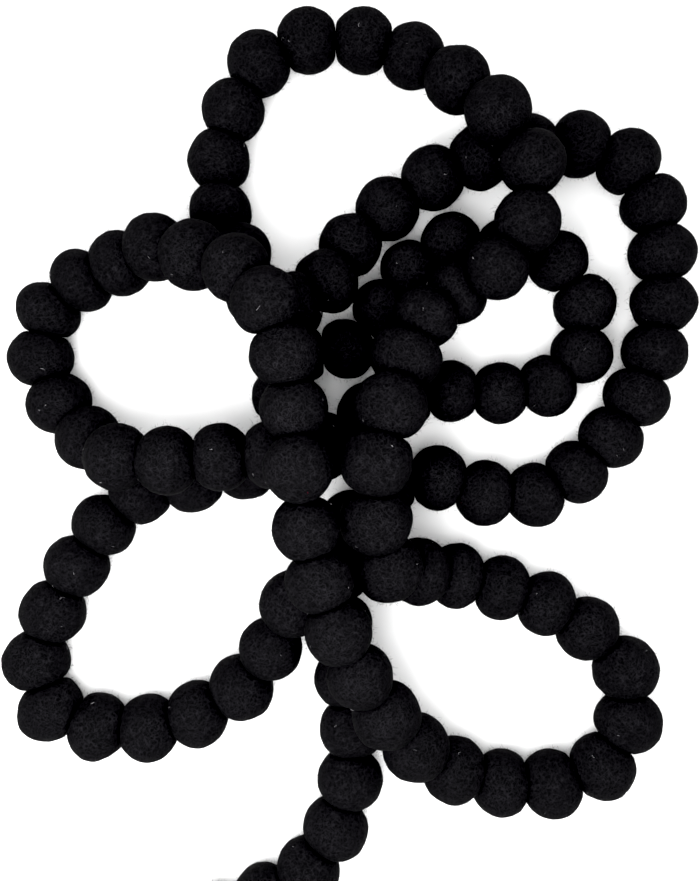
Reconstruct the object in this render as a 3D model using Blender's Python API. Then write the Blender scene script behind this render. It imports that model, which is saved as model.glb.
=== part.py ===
"""Felt ball garland: one strand of wool felt balls, laid down in a loose pile of loops.

The balls are strung so tightly that each is pressed flat against the next.  The thread
inside them never shows, so the strand is made of its balls alone, in runs of a few.
Frame: metres, +Z up, the pile stands on Z = 0, with its origin under its middle.
"""
import math
import random
from collections import namedtuple

import bmesh
import bpy
from mathutils import Vector
from mathutils.geometry import interpolate_bezier

MM = 0.001

# Driving sizes
PITCH = 19.9 * MM               # from one ball to the next along the thread
FLAT_SPOT = 0.4 * MM            # how deep a ball on the surface is pressed flat
NECK = 0.40                     # radius of the pressed contact between two balls, as a
                                # share of the ball's own
NECK_RIM = 1.12                 # least reach of a pressed face past the contact
SIZE_SPREAD = 0.015             # hand-rolled balls differ by this share of their size
RUN_BALLS = 3                   # balls in one solid run
GAP = 0.3 * MM                  # between the ends of two runs
SEED = 7

# One ball is lofted through rings: how far along the thread each is, as a share of the
# way from the ball's middle to its contact, and its radius as a share of the ball's
Ring = namedtuple("Ring", "along radius")
BALL_RINGS = (Ring(-0.64, 0.85), Ring(0.0, 1.0), Ring(0.64, 0.85))
RING_SIDES = 9
# Corners of a ring stand this much outside the round ball, so its sides lie as much inside
CORNER_REACH = 2.0 / (1.0 + math.cos(math.pi / RING_SIDES))

CURVE_STEPS = 48                # samples on each leg when the balls are spaced along it

FELT_BLACK = (0.012, 0.012, 0.014, 1.0)
FELT_ROUGHNESS = 0.95

# The thread's route, in millimetres.  Each point is the middle of a ball: where it lies,
# and how far the strands beneath it lift it off the surface.  Each stretch has balls of
# its own size across the thread.
Stretch = namedtuple("Stretch", "name across points")
ROUTE = (
    Stretch("tail", 25.4, (
        (-71, -172, 0), (-33, -158, 0), (-16, -147, 0), (0, -112, 0), (-1, -73, 0))),
    Stretch("tail's end under the pile", 24.4, (
        (-4, -32, 0), (1, -13, 0))),
    Stretch("large loop on the right", 25.2, (
        (15, 2, 0), (71, -3, 0), (117, 52, 0), (120, 90, 0), (107, 125, 0),
        (88, 132, 0), (69, 131, 0), (50, 127, 0), (32, 119, 0))),
    Stretch("turn back under the left column", 24.4, (
        (0, 92, 5), (-9, 76, 15), (-19, 67, 21), (-34, 72, 13), (-42, 89, 4))),
    Stretch("loop at the top", 24.4, (
        (-50, 106, 0), (-45, 145, 0), (-35, 163, 0), (5, 172, 0), (24, 166, 0),
        (40, 152, 12), (53, 136, 24))),
    Stretch("down over the large and small loops", 23.4, (
        (65, 117, 26), (63, 96, 27), (52, 79, 27), (39, 72, 17), (27, 62, 25))),
    Stretch("right column, on top of the pile", 25.6, (
        (20, 48, 27), (14, 30, 35), (9, 11, 37), (9, -10, 30), (14, -28, 22),
        (26, -31, 9))),
    Stretch("loop on the lower right", 25.2, (
        (41, -34, 0), (91, -54, 0), (106, -70, 0), (97, -107, 0), (77, -114, 0),
        (40, -108, 2), (13, -81, 21))),
    Stretch("left column, on top of the pile", 23.6, (
        (-4, -48, 35), (-15, -12, 39), (-17, 9, 48), (-19, 29, 44), (-28, 64, 48),
        (-39, 77, 38))),
    Stretch("loop on the left", 25.0, (
        (-56, 84, 25), (-72, 89, 15), (-87, 85, 6), (-116, 68, 0), (-119, 50, 0),
        (-99, 19, 6), (-84, 12, 21), (-46, 12, 24), (-28, 13, 25), (-10, 16, 19))),
    Stretch("small loop inside the large one", 23.8, (
        (7, 28, 9), (21, 34, 0), (39, 37, 0), (76, 39, 0), (89, 51, 0), (80, 87, 0),
        (60, 92, 0), (39, 94, 0), (23, 83, 0), (13, 69, 0), (-2, 53, 0))),
    Stretch("under the left column", 24.0, (
        (-19, 52, 0), (-26, 35, 0), (-25, 17, 0), (-40, 7, 0))),
    Stretch("loop on the lower left", 25.2, (
        (-81, -2, 0), (-105, -30, 0), (-115, -85, 0), (-97, -92, 0), (-42, -77, 0))),
    Stretch("its end, tucked in under the left column", 24.2, (
        (-21, -42, 16),)),
)

Ball = namedtuple("Ball", "centre radius")
Contact = namedtuple("Contact", "middle way corners")


def unit_between(start, end):
    return (end - start).normalized()


def direction_at(before, here, after):
    """The thread's direction at a point, turned more by the nearer neighbour."""
    back = (here - before).length
    ahead = (after - here).length
    return (unit_between(before, here) * ahead + unit_between(here, after) * back).normalized()


def spaced_points(start, start_direction, end, end_direction):
    """Points a pitch apart along a smooth leg, without its start."""
    reach = (end - start).length / 3.0
    path = interpolate_bezier(
        start, start + start_direction * reach, end - end_direction * reach, end, CURVE_STEPS)
    travelled = [0.0]
    for a, b in zip(path, path[1:]):
        travelled.append(travelled[-1] + (b - a).length)
    count = max(1, round(travelled[-1] / PITCH))
    points = []
    step = 1
    for number in range(1, count + 1):
        wanted = travelled[-1] * number / count
        while step < len(path) - 1 and travelled[step] < wanted:
            step += 1
        share = (wanted - travelled[step - 1]) / (travelled[step] - travelled[step - 1])
        points.append(path[step - 1].lerp(path[step], share))
    return points


def strung_balls():
    """Every ball's middle and radius, in order along the thread."""
    knots = [
        (Vector(point) * MM, stretch.across * MM / 2.0)
        for stretch in ROUTE
        for point in stretch.points
    ]
    places = [place for place, _ in knots]
    directions = [unit_between(places[0], places[1])]
    directions += [direction_at(*trio) for trio in zip(places, places[1:], places[2:])]
    directions.append(unit_between(places[-2], places[-1]))

    rolled = random.Random(SEED)
    balls = []
    for index, (place, radius) in enumerate(knots):
        if index == 0:
            points = [place]
        else:
            points = spaced_points(
                places[index - 1], directions[index - 1], place, directions[index])
        for point in points:
            own_radius = radius * (1.0 + rolled.uniform(-SIZE_SPREAD, SIZE_SPREAD))
            lift = max(point.z, 0.0)
            middle = Vector((point.x, point.y, lift + own_radius - FLAT_SPOT))
            balls.append(Ball(middle, own_radius))
    return balls


def ring_points(centre, axis, radius):
    """Corners of one ring round the thread, with a corner straight below it."""
    side = axis.cross(Vector((0.0, 0.0, 1.0))).normalized()
    down = axis.cross(side).normalized()
    points = []
    for corner in range(RING_SIDES):
        angle = math.tau * corner / RING_SIDES
        offset = down * math.cos(angle) + side * math.sin(angle)
        points.append(centre + offset * radius * CORNER_REACH)
    return points


def contact_between(balls, index, radius):
    """The contact after a ball, or half a pitch beyond the strand's end, as a small ring."""
    if 0 <= index < len(balls) - 1:
        here, there = balls[index].centre, balls[index + 1].centre
        middle = here.lerp(there, 0.5)
        way = unit_between(here, there)
    elif index < 0:
        way = unit_between(balls[0].centre, balls[1].centre)
        middle = balls[0].centre - way * PITCH / 2.0
    else:
        way = unit_between(balls[-2].centre, balls[-1].centre)
        middle = balls[-1].centre + way * PITCH / 2.0
    return Contact(middle, way, ring_points(middle, way, radius * NECK))


def pressed_back(corners, contact, side):
    """Ring corners held on their own side of a contact, and round it.  Side is 1 or -1."""
    outward = contact.way * side
    held = []
    for corner, neck_corner in zip(corners, contact.corners):
        beyond = (corner - contact.middle).dot(outward) + GAP
        if beyond > 0.0:
            corner = corner - outward * beyond
            from_neck = neck_corner - contact.middle
            behind = contact.middle - outward * GAP
            if (corner - behind).length < from_neck.length * NECK_RIM:
                corner = behind + from_neck * NECK_RIM
        held.append(corner)
    return held


def shifted(points, offset):
    return [point + offset for point in points]


def run_sections(balls, first, last):
    """The rings that a run of balls is lofted through, from its first ball to its last."""
    sections = []
    for index in range(first, last + 1):
        ball = balls[index]
        back = contact_between(balls, index - 1, ball.radius)
        ahead = contact_between(balls, index, ball.radius)
        if index == first:
            sections.append(shifted(back.corners, back.way * GAP / 2.0))
        axis = unit_between(back.middle, ahead.middle)
        for ring in BALL_RINGS:
            contact = ahead if ring.along > 0.0 else back
            reach = (contact.middle - ball.centre).length
            middle = ball.centre + axis * reach * ring.along
            corners = ring_points(middle, axis, ball.radius * ring.radius)
            corners = pressed_back(corners, ahead, 1.0)
            corners = pressed_back(corners, back, -1.0)
            sections.append(corners)
        sections.append(ahead.corners)
    sections[-1] = shifted(sections[-1], -ahead.way * GAP / 2.0)
    return sections


def lofted_mesh(name, sections):
    """A closed mesh through the sections, cut flat where it stands on the surface."""
    bm = bmesh.new()
    rings = [[bm.verts.new(point) for point in section] for section in sections]
    for ring, next_ring in zip(rings, rings[1:]):
        for corner in range(RING_SIDES):
            after = (corner + 1) % RING_SIDES
            bm.faces.new((ring[corner], ring[after], next_ring[after], next_ring[corner]))
    bm.faces.new(rings[0])
    bm.faces.new(rings[-1])
    cut = bmesh.ops.bisect_plane(
        bm, geom=bm.verts[:] + bm.edges[:] + bm.faces[:],
        plane_co=(0.0, 0.0, 0.0), plane_no=(0.0, 0.0, 1.0), clear_inner=True)
    rim = [item for item in cut["geom_cut"] if isinstance(item, bmesh.types.BMEdge)]
    bmesh.ops.holes_fill(bm, edges=rim)
    bmesh.ops.recalc_face_normals(bm, faces=bm.faces[:])
    mesh = bpy.data.meshes.new(name)
    bm.to_mesh(mesh)
    bm.free()
    mesh.shade_smooth()
    return mesh


def felt_material(name):
    material = bpy.data.materials.new(name)
    material.use_nodes = True
    shader = material.node_tree.nodes["Principled BSDF"]
    shader.inputs["Base Color"].default_value = FELT_BLACK
    shader.inputs["Roughness"].default_value = FELT_ROUGHNESS
    shader.inputs["Metallic"].default_value = 0.0
    return material


def build_garland():
    collection = bpy.data.collections.new("felt_ball_garland")
    bpy.context.scene.collection.children.link(collection)
    balls = strung_balls()
    for number, first in enumerate(range(0, len(balls), RUN_BALLS), start=1):
        last = min(first + RUN_BALLS, len(balls)) - 1
        name = f"balls_{number:02d}"
        mesh = lofted_mesh(name, run_sections(balls, first, last))
        mesh.materials.append(felt_material(f"felt_{number:02d}"))
        collection.objects.link(bpy.data.objects.new(name, mesh))


for scene_object in list(bpy.data.objects):
    bpy.data.objects.remove(scene_object, do_unlink=True)
build_garland()
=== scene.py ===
"""Felt ball garland in black wool, laid down in a loose pile of loops on a pale table."""
import math
import random
from collections import namedtuple

import bmesh
import bpy
import numpy as np
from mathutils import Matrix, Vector
from mathutils.geometry import interpolate_bezier


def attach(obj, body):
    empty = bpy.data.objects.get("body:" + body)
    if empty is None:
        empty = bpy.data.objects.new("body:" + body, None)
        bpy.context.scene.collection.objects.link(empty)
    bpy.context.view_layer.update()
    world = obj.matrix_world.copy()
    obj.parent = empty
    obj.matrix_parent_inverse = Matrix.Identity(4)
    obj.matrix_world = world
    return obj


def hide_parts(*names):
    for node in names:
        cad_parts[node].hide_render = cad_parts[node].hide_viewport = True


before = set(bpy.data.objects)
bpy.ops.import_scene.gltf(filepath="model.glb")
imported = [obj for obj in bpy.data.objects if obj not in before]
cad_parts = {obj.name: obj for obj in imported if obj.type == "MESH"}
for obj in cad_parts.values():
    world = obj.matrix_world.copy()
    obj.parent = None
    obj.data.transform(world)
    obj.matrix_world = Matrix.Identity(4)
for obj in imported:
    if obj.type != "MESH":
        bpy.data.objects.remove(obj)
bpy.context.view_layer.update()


# ---- The strand -------------------------------------------------------------------------
# One thread runs through every ball and is pulled so tight that they press on each other.
# The strand is laid down from its tail: each stretch has balls of its own size, and each
# point is the middle of a ball, with how far the strands beneath lift it off the table.
MM = 0.001
PITCH = 19.9 * MM               # from one ball to the next along the thread
FLAT_SPOT = 0.4 * MM            # how deep a ball on the table is pressed flat
SIZE_SPREAD = 0.015             # hand-rolled balls differ by this share of their size
RUN_BALLS = 3                   # balls in one run
STRAND_SEED = 7
CURVE_STEPS = 48                # samples on each leg when the balls are spaced along it

Stretch = namedtuple("Stretch", "name across points")
ROUTE = (
    Stretch("tail", 25.4, (
        (-71, -172, 0), (-33, -158, 0), (-16, -147, 0), (0, -112, 0), (-1, -73, 0))),
    Stretch("tail's end under the pile", 24.4, (
        (-4, -32, 0), (1, -13, 0))),
    Stretch("large loop on the right", 25.2, (
        (15, 2, 0), (71, -3, 0), (117, 52, 0), (120, 90, 0), (107, 125, 0),
        (88, 132, 0), (69, 131, 0), (50, 127, 0), (32, 119, 0))),
    Stretch("turn back under the left column", 24.4, (
        (0, 92, 5), (-9, 76, 15), (-19, 67, 21), (-34, 72, 13), (-42, 89, 4))),
    Stretch("loop at the top", 24.4, (
        (-50, 106, 0), (-45, 145, 0), (-35, 163, 0), (5, 172, 0), (24, 166, 0),
        (40, 152, 12), (53, 136, 24))),
    Stretch("down over the large and small loops", 23.4, (
        (65, 117, 26), (63, 96, 27), (52, 79, 27), (39, 72, 17), (27, 62, 25))),
    Stretch("right column, on top of the pile", 25.6, (
        (20, 48, 27), (14, 30, 35), (9, 11, 37), (9, -10, 30), (14, -28, 22),
        (26, -31, 9))),
    Stretch("loop on the lower right", 25.2, (
        (41, -34, 0), (91, -54, 0), (106, -70, 0), (97, -107, 0), (77, -114, 0),
        (40, -108, 2), (13, -81, 21))),
    Stretch("left column, on top of the pile", 23.6, (
        (-4, -48, 35), (-15, -12, 39), (-17, 9, 48), (-19, 29, 44), (-28, 64, 48),
        (-39, 77, 38))),
    Stretch("loop on the left", 25.0, (
        (-56, 84, 25), (-72, 89, 15), (-87, 85, 6), (-116, 68, 0), (-119, 50, 0),
        (-99, 19, 6), (-84, 12, 21), (-46, 12, 24), (-28, 13, 25), (-10, 16, 19))),
    Stretch("small loop inside the large one", 23.8, (
        (7, 28, 9), (21, 34, 0), (39, 37, 0), (76, 39, 0), (89, 51, 0), (80, 87, 0),
        (60, 92, 0), (39, 94, 0), (23, 83, 0), (13, 69, 0), (-2, 53, 0))),
    Stretch("under the left column", 24.0, (
        (-19, 52, 0), (-26, 35, 0), (-25, 17, 0), (-40, 7, 0))),
    Stretch("loop on the lower left", 25.2, (
        (-81, -2, 0), (-105, -30, 0), (-115, -85, 0), (-97, -92, 0), (-42, -77, 0))),
    Stretch("its end, tucked in under the left column", 24.2, (
        (-21, -42, 16),)),
)

Ball = namedtuple("Ball", "centre radius")


def unit_between(start, end):
    """The way from one point to another, at length 1."""
    return (end - start).normalized()


def direction_at(before, here, after):
    """The thread's direction at a point, turned more by the nearer neighbour."""
    back = (here - before).length
    ahead = (after - here).length
    return (unit_between(before, here) * ahead + unit_between(here, after) * back).normalized()


def spaced_points(start, start_direction, end, end_direction):
    """Points a pitch apart along a smooth leg, without its start."""
    reach = (end - start).length / 3.0
    path = interpolate_bezier(
        start, start + start_direction * reach, end - end_direction * reach, end, CURVE_STEPS)
    travelled = [0.0]
    for a, b in zip(path, path[1:]):
        travelled.append(travelled[-1] + (b - a).length)
    count = max(1, round(travelled[-1] / PITCH))
    points = []
    step = 1
    for number in range(1, count + 1):
        wanted = travelled[-1] * number / count
        while step < len(path) - 1 and travelled[step] < wanted:
            step += 1
        share = (wanted - travelled[step - 1]) / (travelled[step] - travelled[step - 1])
        points.append(path[step - 1].lerp(path[step], share))
    return points


def strung_balls():
    """Every ball's middle and radius, in order along the thread."""
    knots = [
        (Vector(point) * MM, stretch.across * MM / 2.0)
        for stretch in ROUTE
        for point in stretch.points
    ]
    places = [place for place, _ in knots]
    directions = [unit_between(places[0], places[1])]
    directions += [direction_at(*trio) for trio in zip(places, places[1:], places[2:])]
    directions.append(unit_between(places[-2], places[-1]))

    rolled = random.Random(STRAND_SEED)
    strung = []
    for index, (place, radius) in enumerate(knots):
        points = [place]
        if index > 0:
            points = spaced_points(
                places[index - 1], directions[index - 1], place, directions[index])
        for point in points:
            own_radius = radius * (1.0 + rolled.uniform(-SIZE_SPREAD, SIZE_SPREAD))
            lift = max(point.z, 0.0)
            middle = Vector((point.x, point.y, lift + own_radius - FLAT_SPOT))
            strung.append(Ball(middle, own_radius))
    return strung


balls = strung_balls()


# ---- Black felt -------------------------------------------------------------------------
# Carded wool, dyed black, rolled wet with soap until its fibres lock.  The surface is a mat
# of short curly fibres, so it is dull and drinks nearly all the light.  The fuzz on it is
# the same wool, and the lint caught in it is grey or dark red.
WOOL_FIBRE = 1.7 * MM           # from one curl of the mat to the next
WOOL_CURL = 0.8                 # how far the fibres wander, in fibre widths
WOOL_PATCH = 9.0 * MM           # patches where the dye and the felting differ
WOOL_RELIEF = 0.16 * MM         # depth of the mat
HAIR_RELIEF = WOOL_RELIEF * 0.1     # on a single fibre
WOOL_DARK = (0.00210, 0.00205, 0.00225, 1.0)
# The fibres' paler tone, partly painted glint standing in for light caught on them
WOOL_LIGHT_AND_GLINT = (0.01070, 0.01020, 0.01190, 1.0)
FUZZ_BLACK = (0.00720, 0.00700, 0.00770, 1.0)
LINT_GREY = (0.0700, 0.0680, 0.0740, 1.0)
LINT_PALE = (0.5000, 0.4800, 0.5000, 1.0)
LINT_RED = (0.0800, 0.0050, 0.0120, 1.0)
WOOL_PAINTED_RIM_SHADE = 0.45          # painted shade: how much darker the mat is made where it is seen from the side
# Painted shade: the black that the rims are mixed towards
BLACK = (0.0, 0.0, 0.0, 1.0)
WOOL_DULLNESS = 0.78            # roughness where the fewest fibres show
WOOL_DULLNESS_SPREAD = 0.2      # and how much more where the most do
WOOL_SPECULAR = 0.025

FibreLayer = namedtuple("FibreLayer", "density fineness strength shift")
FIBRE_LAYERS = (                # layers of crossing fibres, from the coarsest to the finest
    FibreLayer(0.80, 26.0, 1.0, 0.0),
    FibreLayer(1.15, 22.0, 0.9, 0.37),
    FibreLayer(1.60, 18.0, 0.7, 0.71),
)
FIBRE_DETAIL = 0.6              # how rough a fibre's line is
WANDER_DENSITY = 0.8            # bends of a fibre along one curl
SPECK_DENSITY = 2.2             # specks of the mat's fine relief along one curl
PATCH_LEAST = 0.3               # how well the fibres show where the felting is closest
PATCH_GAIN = 1.2                # and how much better elsewhere
FIBRE_HEIGHT = 0.55             # the fibres' share of the relief, the rest is specks


def add_node(tree, kind, **settings):
    """A new node with its settings made."""
    node = tree.nodes.new(kind)
    for name, value in settings.items():
        setattr(node, name, value)
    return node


def maths(tree, operation, *values):
    """A Math node on sockets or plain numbers; returns its output."""
    node = add_node(tree, "ShaderNodeMath", operation=operation)
    for socket, value in zip(node.inputs, values):
        if isinstance(value, (int, float)):
            socket.default_value = value
        else:
            tree.links.new(value, socket)
    return node.outputs["Value"]


def vector_maths(tree, operation, *values):
    """A Vector Math node on sockets or plain vectors; returns its vector."""
    node = add_node(tree, "ShaderNodeVectorMath", operation=operation)
    for socket, value in zip(node.inputs, values):
        if isinstance(value, tuple):
            socket.default_value = value
        else:
            tree.links.new(value, socket)
    return node.outputs["Vector"]


def noise_at(tree, vector, scale, detail=1.0, roughness=0.5):
    """A Noise Texture node at a place, with its scale from a socket."""
    node = add_node(tree, "ShaderNodeTexNoise")
    node.inputs["Detail"].default_value = detail
    node.inputs["Roughness"].default_value = roughness
    tree.links.new(vector, node.inputs["Vector"])
    tree.links.new(scale, node.inputs["Scale"])
    return node


def matted_wool_group():
    """A mat of curly fibres: where the fibres lie, how high the mat stands, and its patches."""
    tree = bpy.data.node_groups.new("matted_wool", "ShaderNodeTree")
    for name, default in (("Fibre", WOOL_FIBRE), ("Curl", WOOL_CURL), ("Patch", WOOL_PATCH)):
        socket = tree.interface.new_socket(name, in_out="INPUT", socket_type="NodeSocketFloat")
        socket.default_value = default
    tree.interface.new_socket("Place", in_out="INPUT", socket_type="NodeSocketVector")
    for name in ("Fibres", "Height", "Patches"):
        tree.interface.new_socket(name, in_out="OUTPUT", socket_type="NodeSocketFloat")
    given = add_node(tree, "NodeGroupInput").outputs
    result = add_node(tree, "NodeGroupOutput").inputs

    per_fibre = maths(tree, "DIVIDE", 1.0, given["Fibre"])
    wander_scale = maths(tree, "MULTIPLY", per_fibre, WANDER_DENSITY)
    wander = noise_at(tree, given["Place"], wander_scale)
    offset = vector_maths(tree, "SUBTRACT", wander.outputs["Color"], (0.5, 0.5, 0.5))
    scaled = add_node(tree, "ShaderNodeVectorMath", operation="SCALE")
    tree.links.new(offset, scaled.inputs[0])
    curl_length = maths(tree, "MULTIPLY", given["Curl"], given["Fibre"])
    tree.links.new(curl_length, scaled.inputs["Scale"])
    curled = vector_maths(tree, "ADD", given["Place"], scaled.outputs["Vector"])

    # A fibre lies wherever a layer's noise crosses its middle value
    fibres = None
    for layer in FIBRE_LAYERS:
        moved = vector_maths(tree, "ADD", curled, (layer.shift, -layer.shift, layer.shift))
        layer_scale = maths(tree, "MULTIPLY", per_fibre, layer.density)
        strand = noise_at(tree, moved, layer_scale, detail=FIBRE_DETAIL)
        across = maths(tree, "MULTIPLY_ADD", strand.outputs["Fac"], 2.0, -1.0)
        ridge = maths(tree, "SUBTRACT", 1.0, maths(tree, "ABSOLUTE", across))
        sharp_ridge = maths(tree, "POWER", ridge, layer.fineness)
        line = maths(tree, "MULTIPLY", sharp_ridge, layer.strength)
        fibres = line if fibres is None else maths(tree, "MAXIMUM", fibres, line)

    patch_scale = maths(tree, "DIVIDE", 1.0, given["Patch"])
    patches = noise_at(tree, given["Place"], patch_scale, detail=3.0, roughness=0.6)
    showing = maths(tree, "MULTIPLY_ADD", patches.outputs["Fac"], PATCH_GAIN, PATCH_LEAST)
    shown_fibres = maths(tree, "MULTIPLY", fibres, showing)
    speck_scale = maths(tree, "MULTIPLY", per_fibre, SPECK_DENSITY)
    specks = noise_at(tree, given["Place"], speck_scale, detail=2.0)
    fibre_height = maths(tree, "MULTIPLY", fibres, FIBRE_HEIGHT)
    height = maths(
        tree, "MULTIPLY_ADD", specks.outputs["Fac"], 1.0 - FIBRE_HEIGHT, fibre_height)
    tree.links.new(shown_fibres, result["Fibres"])
    tree.links.new(height, result["Height"])
    tree.links.new(patches.outputs["Fac"], result["Patches"])
    return tree


def mixed_colour(tree, share, first, second):
    """A colour between two, each a socket or a plain colour."""
    node = add_node(tree, "ShaderNodeMix", data_type="RGBA")
    tree.links.new(share, node.inputs["Factor"])
    for socket, value in ((node.inputs["A"], first), (node.inputs["B"], second)):
        if isinstance(value, tuple):
            socket.default_value = value
        else:
            tree.links.new(value, socket)
    return node.outputs["Result"]


def wool_material(name, dark, light, relief):
    """Matted wool: dark under the fibres, paler on them with painted glint, painted shade at
    rims.
    """
    material = bpy.data.materials.new(name)
    material.use_nodes = True
    tree = material.node_tree
    shader = tree.nodes["Principled BSDF"]
    place = add_node(tree, "ShaderNodeTexCoord").outputs["Object"]
    wool = add_node(tree, "ShaderNodeGroup", node_tree=matted_wool)
    wool.inputs["Fibre"].default_value = WOOL_FIBRE
    wool.inputs["Curl"].default_value = WOOL_CURL
    wool.inputs["Patch"].default_value = WOOL_PATCH
    tree.links.new(place, wool.inputs["Place"])
    # Lighter where fibres lie: their paler tone, partly painted glint
    colour = mixed_colour(tree, wool.outputs["Fibres"], dark, light)
    # Painted shade: the colour is mixed towards black where the surface is seen edgewise,
    # standing in for the shading of the rims
    turned_away = add_node(tree, "ShaderNodeLayerWeight").outputs["Facing"]
    painted_rim_shade = maths(tree, "MULTIPLY", turned_away, WOOL_PAINTED_RIM_SHADE)
    colour = mixed_colour(tree, painted_rim_shade, colour, BLACK)
    tree.links.new(colour, shader.inputs["Base Color"])
    dullness = maths(
        tree, "MULTIPLY_ADD", wool.outputs["Patches"], WOOL_DULLNESS_SPREAD, WOOL_DULLNESS)
    tree.links.new(dullness, shader.inputs["Roughness"])
    shader.inputs["Specular IOR Level"].default_value = WOOL_SPECULAR
    bump = add_node(tree, "ShaderNodeBump")
    bump.inputs["Strength"].default_value = 1.0
    bump.inputs["Distance"].default_value = relief
    tree.links.new(wool.outputs["Height"], bump.inputs["Height"])
    tree.links.new(bump.outputs["Normal"], shader.inputs["Normal"])
    return material


matted_wool = matted_wool_group()
black_felt = wool_material("black_felt", WOOL_DARK, WOOL_LIGHT_AND_GLINT, WOOL_RELIEF)
black_fuzz = wool_material("black_fuzz", FUZZ_BLACK, WOOL_LIGHT_AND_GLINT, HAIR_RELIEF)
grey_lint = wool_material("grey_lint", LINT_GREY, LINT_PALE, HAIR_RELIEF)
red_lint = wool_material("red_lint", LINT_RED, LINT_RED, HAIR_RELIEF)


# ---- Felt balls -------------------------------------------------------------------------
# Each ball is rolled by hand, so it is a little lumpy.  The tight thread presses it flat
# against its two neighbours and draws its sides in towards them, and it gives a little where
# it lies on the table or on another strand.
BALL_DETAIL = 5                 # subdivisions of the round ball
SHOULDER = 1.22                 # a ball would reach this much past its pressed face
LEAST_SHOULDER = 1.03           # and at least this much, however small it is
PRESS_REACH = 1.0 * MM          # strands this near each other count as pressed
CONTACT_SOFTNESS = 1.10 * MM    # roundness of the rim of a pressed face
FLOOR_SOFTNESS = 0.30 * MM      # the same where it lies on the table
SEAM = 0.04 * MM                # between two pressed faces
WAVE_SPREAD = 0.3               # lumps differ by this share of their size
BALL_SEED = 23

Lump = namedtuple("Lump", "size waves height")
LUMPS = (Lump(12.0 * MM, 14, 0.12 * MM), Lump(4.2 * MM, 26, 0.05 * MM))

Face = namedtuple("Face", "spot outward softness")


def round_ball():
    """Points and triangles of a ball of radius 1."""
    bm = bmesh.new()
    bmesh.ops.create_icosphere(bm, subdivisions=BALL_DETAIL, radius=1.0)
    points = np.array([vert.co for vert in bm.verts])
    triangles = np.array([[vert.index for vert in face.verts] for face in bm.faces])
    bm.free()
    return points, triangles


def pressed_faces(index):
    """The flat faces that a ball gets: from the thread's neighbours, other strands, table."""
    ball = balls[index]
    faces = []
    for other_index, other in enumerate(balls):
        apart = other.centre - ball.centre
        both_radii = ball.radius + other.radius
        beside = abs(other_index - index) == 1
        near = beside or apart.length <= both_radii + PRESS_REACH
        if other_index == index or not near:
            continue
        share = 0.5 if beside else ball.radius / both_radii
        outward = apart.normalized()
        spot = ball.centre + apart * share - outward * SEAM / 2.0
        faces.append(Face(np.array(spot), np.array(outward), CONTACT_SOFTNESS))
    faces.append(Face(np.zeros(3), np.array((0.0, 0.0, -1.0)), FLOOR_SOFTNESS))
    return faces


def pressed(points, face):
    """Points held behind a face, with a soft rim round it."""
    inside = (face.spot - points) @ face.outward
    rim = np.clip(inside + face.softness, 0.0, 2.0 * face.softness)
    held = rim ** 2 / (4.0 * face.softness) + np.maximum(inside - face.softness, 0.0)
    return points - np.outer(held - inside, face.outward)


def lumps_on(directions, radius, rolled):
    """How far the surface stands out, in metres, at each direction from the middle."""
    out = np.zeros(len(directions))
    for lump in LUMPS:
        ways = rolled.normal(size=(lump.waves, 3))
        ways /= np.linalg.norm(ways, axis=1)[:, None]
        spread = rolled.uniform(1.0 - WAVE_SPREAD, 1.0 + WAVE_SPREAD, lump.waves)
        steepness = math.tau * radius / lump.size * spread
        phases = rolled.uniform(0.0, math.tau, lump.waves)
        waves = np.cos(directions @ (ways * steepness[:, None]).T + phases)
        out += waves.sum(1) * (lump.height * math.sqrt(2.0 / lump.waves))
    return out


def thread_axis(index):
    """The thread's way through a ball, and how far it is to the contacts behind and ahead."""
    ball = balls[index]
    behind = balls[index - 1].centre if index > 0 else None
    ahead = balls[index + 1].centre if index < len(balls) - 1 else None
    if behind is None:
        behind = ball.centre * 2.0 - ahead
    if ahead is None:
        ahead = ball.centre * 2.0 - behind
    reach_behind = (behind - ball.centre).length / 2.0
    reach_ahead = (ahead - ball.centre).length / 2.0
    return unit_between(behind, ahead), reach_behind, reach_ahead


def felted_ball(index, rolled):
    """One ball's points, and its pressed faces."""
    ball = balls[index]
    turn = np.linalg.qr(rolled.normal(size=(3, 3)))[0]
    turn *= np.sign(np.linalg.det(turn))
    directions = unit_points @ turn.T
    axis, behind, ahead = thread_axis(index)
    axis = np.array(axis)
    along = directions @ axis
    lengths = [
        max(reach * LEAST_SHOULDER, min(reach * SHOULDER, ball.radius))
        for reach in (behind, ahead)]
    squeeze = np.where(along > 0.0, lengths[1], lengths[0]) / ball.radius - 1.0
    shape = directions + np.outer(along * squeeze, axis)
    stand_out = lumps_on(directions, ball.radius, rolled)
    points = np.array(ball.centre) + shape * (ball.radius + stand_out)[:, None]
    faces = pressed_faces(index)
    for face in faces:
        points = pressed(points, face)
    return points, faces


def mesh_object(name, points, triangles, materials, material_of):
    """A smooth mesh from arrays of points, triangles and each triangle's material."""
    mesh = bpy.data.meshes.new(name)
    mesh.vertices.add(len(points))
    mesh.vertices.foreach_set("co", points.astype(np.float32).ravel())
    mesh.loops.add(triangles.size)
    mesh.loops.foreach_set("vertex_index", triangles.astype(np.int32).ravel())
    mesh.polygons.add(len(triangles))
    mesh.polygons.foreach_set("loop_start", np.arange(0, triangles.size, 3, dtype=np.int32))
    mesh.polygons.foreach_set("material_index", material_of.astype(np.int32))
    mesh.update(calc_edges=True)
    mesh.validate()
    mesh.shade_smooth()
    for material in materials:
        mesh.materials.append(material)
    made = bpy.data.objects.new(name, mesh)
    bpy.context.scene.collection.objects.link(made)
    return made


unit_points, unit_triangles = round_ball()


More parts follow.
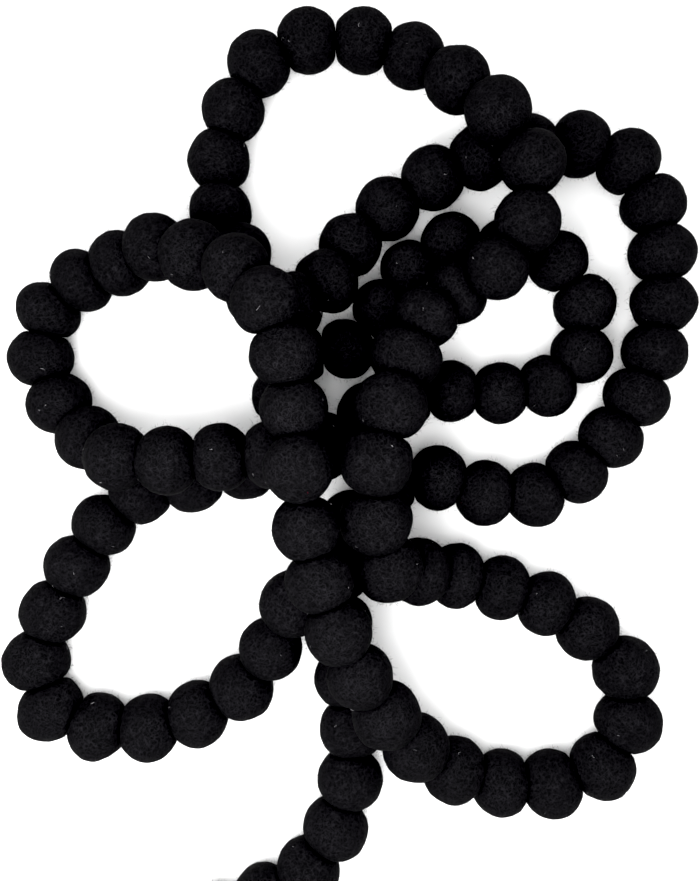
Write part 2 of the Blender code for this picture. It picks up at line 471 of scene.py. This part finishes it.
# ---- Fuzz -------------------------------------------------------------------------------
# Ends of single fibres stand out of the felt all over a ball, except where it is pressed
# against something.  A few longer fibres have worked loose and curl along it, and a little
# pale or dark red lint is caught in the wool.
FUZZ_HAIRS = 460                # on one ball
FUZZ_THICK = 0.075 * MM
FUZZ_LENGTH = 1.5 * MM
FUZZ_LENGTH_SPREAD = 0.45
FUZZ_LONGEST = 3.6 * MM
FUZZ_ROOT = 0.12 * MM           # how deep a hair starts
CLEAR_OF_FACE = 0.9 * MM        # no hair this near a pressed face
CLEAR_OF_TABLE = 0.1 * MM
HAIR_LEAN = (0.5, 1.35)         # least and most lean off the surface's outward way, in radians
HAIR_BEND = (-0.9, 1.0)         # least and most change of lean at its middle
HAIR_TWIST = 0.7                # how far its tip turns aside
HAIR_THICK_SPREAD = (0.6, 1.25)     # least and most, as shares of the thickness
NEARLY_UPRIGHT = 0.9            # upward share past which a hair's cross-section uses the X axis
LOOSE_STEPS = 5                 # straight steps in a long loose fibre
LOOSE_LEAN = 1.35               # a loose fibre starts almost flat on the ball
LOOSE_STEP_SPREAD = (0.6, 1.2)  # least and most, as shares of the step
LOOSE_SETTLE = 0.25             # how much each step turns it down, or up near its tip
RISING_STEPS = 2                # last steps that turn it up

Loose = namedtuple("Loose", "count length thick curl")
OWN_FIBRES = Loose(5, 5.5 * MM, 0.09 * MM, 0.55)
PALE_LINT = Loose(2, 2.6 * MM, 0.15 * MM, 1.1)
RED_LINT = Loose(1, 1.8 * MM, 0.20 * MM, 1.3)
RED_LINT_SHARE = 0.12           # of the balls have a red speck


def unit_rows(vectors):
    """Each row at length 1."""
    return vectors / np.linalg.norm(vectors, axis=1)[:, None]


def places_on(points, faces, count, rolled):
    """Free places on a ball's surface, with the surface's outward way at each."""
    chosen = unit_triangles[rolled.integers(0, len(unit_triangles), count * 2)]
    weights = rolled.dirichlet((1.0, 1.0, 1.0), len(chosen))
    corners = points[chosen]
    places = (corners * weights[:, :, None]).sum(1)
    outward = unit_rows(np.cross(corners[:, 1] - corners[:, 0], corners[:, 2] - corners[:, 0]))
    free = np.ones(len(places), bool)
    for face in faces:
        free &= (face.spot - places) @ face.outward > CLEAR_OF_FACE
    return places[free][:count], outward[free][:count]


def leaning(outward, lean, way):
    """Directions that lean off the surface's outward way, towards a way along it."""
    side = unit_rows(way - outward * (way * outward).sum(1)[:, None])
    return outward * np.cos(lean)[:, None] + side * np.sin(lean)[:, None]


def ring_of_three(centres, along, thick):
    """Three corners round each centre, across the way along."""
    upright = np.abs(along[:, 2:]) >= NEARLY_UPRIGHT
    helper = np.where(upright, [[1.0, 0.0, 0.0]], [[0.0, 0.0, 1.0]])
    side = unit_rows(np.cross(along, helper))
    up = np.cross(along, side)
    corners = []
    for turn in (0.0, math.tau / 3.0, 2.0 * math.tau / 3.0):
        corners.append(centres + (side * math.cos(turn) + up * math.sin(turn)) * thick[:, None])
    return corners


def fibre_triangles(rings, count):
    """Triangles of many fibres, each from a root point through rings of three to a tip."""
    tip = 3 * rings + 1
    last = tip - 3
    one = [(0, 1, 2), (0, 2, 3), (0, 3, 1)]
    for ring in range(1, last, 3):
        for corner in range(3):
            a, b = ring + corner, ring + (corner + 1) % 3
            one += [(a, a + 3, b + 3), (a, b + 3, b)]
    one += [(tip, last + 1, last), (tip, last + 2, last + 1), (tip, last, last + 2)]
    starts = np.arange(count)[:, None, None] * (tip + 1)
    return (starts + np.array(one)[None]).reshape(-1, 3)


def fuzz_on(points, faces, rolled):
    """Bent hairs on one ball: their points and triangles."""
    places, outward = places_on(points, faces, FUZZ_HAIRS, rolled)
    count = len(places)
    length = np.minimum(
        FUZZ_LENGTH * np.exp(rolled.normal(0.0, FUZZ_LENGTH_SPREAD, count)), FUZZ_LONGEST)
    lean = rolled.uniform(*HAIR_LEAN, count)
    way = rolled.normal(size=(count, 3))
    first = leaning(outward, lean, way)
    bend = lean + rolled.uniform(*HAIR_BEND, count)
    second = leaning(outward, bend, way + HAIR_TWIST * rolled.normal(size=(count, 3)))
    root = places - outward * FUZZ_ROOT
    middle = places + first * (length * 0.5)[:, None]
    tip = middle + second * (length * 0.5)[:, None]
    thick = FUZZ_THICK / 2.0 * rolled.uniform(*HAIR_THICK_SPREAD, count)
    corners = ring_of_three(middle, unit_rows(tip - root), thick)
    hairs = np.stack([root, *corners, tip], axis=1)
    hairs[:, :, 2] = np.maximum(hairs[:, :, 2], CLEAR_OF_TABLE)
    return hairs.reshape(-1, 3), fibre_triangles(1, count)


def loose_fibres(points, faces, middle, loose, rolled):
    """Long loose fibres that curl along a ball's surface: their points and triangles."""
    places, outward = places_on(points, faces, loose.count, rolled)
    count = len(places)
    step = loose.length / LOOSE_STEPS * rolled.uniform(*LOOSE_STEP_SPREAD, count)
    lean = np.full(count, LOOSE_LEAN)
    heading = unit_rows(leaning(outward, lean, rolled.normal(size=(count, 3))))
    curl = rolled.normal(0.0, loose.curl, count)
    rows = [places - outward * FUZZ_ROOT]
    here = places
    for number in range(LOOSE_STEPS):
        here = here + heading * step[:, None]
        away = unit_rows(here - middle)
        aside = np.cross(away, heading)
        turned = heading * np.cos(curl)[:, None] + aside * np.sin(curl)[:, None]
        rising = number >= LOOSE_STEPS - RISING_STEPS
        heading = unit_rows(turned + away * (LOOSE_SETTLE if rising else -LOOSE_SETTLE))
        rows.append(here)
    thick = np.full(count, loose.thick / 2.0)
    parts = [rows[0][:, None]]
    for before, at, after in zip(rows, rows[1:], rows[2:]):
        parts.append(np.stack(ring_of_three(at, unit_rows(after - before), thick), axis=1))
    parts.append(rows[-1][:, None])
    fibres = np.concatenate(parts, axis=1)
    fibres[:, :, 2] = np.maximum(fibres[:, :, 2], CLEAR_OF_TABLE)
    return fibres.reshape(-1, 3), fibre_triangles(LOOSE_STEPS - 1, count)


# ---- The runs of balls ------------------------------------------------------------------
# The strand is made up in runs of three balls, pressed together on the thread.  Each run is
# one piece of felt balls with their fuzz and lint, and it stands for the frame's run of the
# same number.
WOOLS = (black_felt, black_fuzz, grey_lint, red_lint)
BLACK_FELT, BLACK_FUZZ, GREY_LINT, DARK_RED_LINT = range(4)


def stacked(parts):
    """Several (points, triangles) joined into one."""
    points = np.concatenate([part[0] for part in parts])
    starts = np.cumsum([0] + [len(part[0]) for part in parts[:-1]])
    triangles = np.concatenate([part[1] + start for part, start in zip(parts, starts)])
    return points, triangles


for run, first in enumerate(range(0, len(balls), RUN_BALLS), start=1):
    parts, kinds = [], []
    for index in range(first, min(first + RUN_BALLS, len(balls))):
        rolled = np.random.default_rng(BALL_SEED + index)
        points, faces = felted_ball(index, rolled)
        middle = np.array(balls[index].centre)
        on_ball = [
            (BLACK_FELT, (points, unit_triangles)),
            (BLACK_FUZZ, fuzz_on(points, faces, rolled)),
            (BLACK_FUZZ, loose_fibres(points, faces, middle, OWN_FIBRES, rolled)),
            (GREY_LINT, loose_fibres(points, faces, middle, PALE_LINT, rolled)),
        ]
        if rolled.random() < RED_LINT_SHARE:
            on_ball.append((DARK_RED_LINT, loose_fibres(points, faces, middle, RED_LINT, rolled)))
        for kind, part in on_ball:
            parts.append(part)
            kinds.append(np.full(len(part[1]), kind))
    node = f"balls_{run:02d}"
    run_points, run_triangles = stacked(parts)
    piece = mesh_object(
        f"felt_{node}", run_points, run_triangles, WOOLS, np.concatenate(kinds))
    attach(piece, "root")
    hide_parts(node)


# ---- The table --------------------------------------------------------------------------
# A plain white painted table, far wider than the garland, which lies on it under its own
# weight and isn't fixed to it.
TABLE_SIZE = 8.0
TABLE_WHITE = (0.9, 0.9, 0.9, 1.0)
TABLE_ROUGHNESS = 0.9
TABLE_SPECULAR = 0.1

half = TABLE_SIZE / 2.0
table_mesh = bpy.data.meshes.new("table")
table_mesh.from_pydata(
    [(-half, -half, 0.0), (half, -half, 0.0), (half, half, 0.0), (-half, half, 0.0)], [],
    [(0, 1, 2, 3)])
table = bpy.data.objects.new("table", table_mesh)
bpy.context.scene.collection.objects.link(table)
table_paint = bpy.data.materials.new("white_table")
table_paint.use_nodes = True
table_shader = table_paint.node_tree.nodes["Principled BSDF"]
table_shader.inputs["Base Color"].default_value = TABLE_WHITE
table_shader.inputs["Roughness"].default_value = TABLE_ROUGHNESS
table_shader.inputs["Specular IOR Level"].default_value = TABLE_SPECULAR
table_mesh.materials.append(table_paint)


# ---- The studio -------------------------------------------------------------------------
# A white room with a large softbox over the table and a smaller lamp nearer the pile, so
# that the top of the pile is brightest.  The camera looks straight down from between them.
ROOM_WHITE = (1.0, 1.0, 1.0, 1.0)
ROOM_LIGHT = 0.62

Lamp = namedtuple("Lamp", "name place aim size power")      # in metres and watts
LAMPS = (
    Lamp("softbox", (-0.10, -0.10, 0.42), (-0.10, -0.10, 0.0), 0.60, 0.45),
    Lamp("near_lamp", (-0.06, -0.08, 0.27), (-0.02, 0.0, 0.03), 0.20, 0.42),
)

room = bpy.data.worlds.new("white_room")
room.use_nodes = True
background = room.node_tree.nodes["Background"]
background.inputs["Color"].default_value = ROOM_WHITE
background.inputs["Strength"].default_value = ROOM_LIGHT
bpy.context.scene.world = room

for lamp in LAMPS:
    light = bpy.data.lights.new(lamp.name, "AREA")
    light.shape = "DISK"
    light.size = lamp.size
    light.energy = lamp.power
    shining = Vector(lamp.aim) - Vector(lamp.place)
    lamp_object = bpy.data.objects.new(lamp.name, light)
    lamp_object.location = lamp.place
    lamp_object.rotation_euler = shining.to_track_quat("-Z", "Y").to_euler()
    lamp_object.visible_camera = False
    bpy.context.scene.collection.objects.link(lamp_object)

CAMERA_HEIGHT = 351.2 * MM
CAMERA_AHEAD = 18.0 * MM
CAMERA_LENS = 36.0              # and the sensor, both in millimetres
CAMERA_SENSOR = 36.0
NEAREST_SEEN = 10.0 * MM
camera_data = bpy.data.cameras.new("camera")
camera_data.lens = CAMERA_LENS
camera_data.sensor_width = CAMERA_SENSOR
camera_data.clip_start = NEAREST_SEEN
camera = bpy.data.objects.new("camera", camera_data)
camera.location = (0.0, CAMERA_AHEAD, CAMERA_HEIGHT)
bpy.context.scene.collection.objects.link(camera)
bpy.context.scene.camera = camera

# Light below the first level shows as black, and light above the second as white: the felt
# keeps its deep blacks, and the table burns out
BLACK_LEVEL = 0.00255
WHITE_LEVEL = 0.35
view = bpy.context.scene.view_settings
view.view_transform = "Standard"
view.use_curve_mapping = True
view.curve_mapping.black_level = (BLACK_LEVEL,) * 3
view.curve_mapping.white_level = (WHITE_LEVEL,) * 3
view.curve_mapping.update()
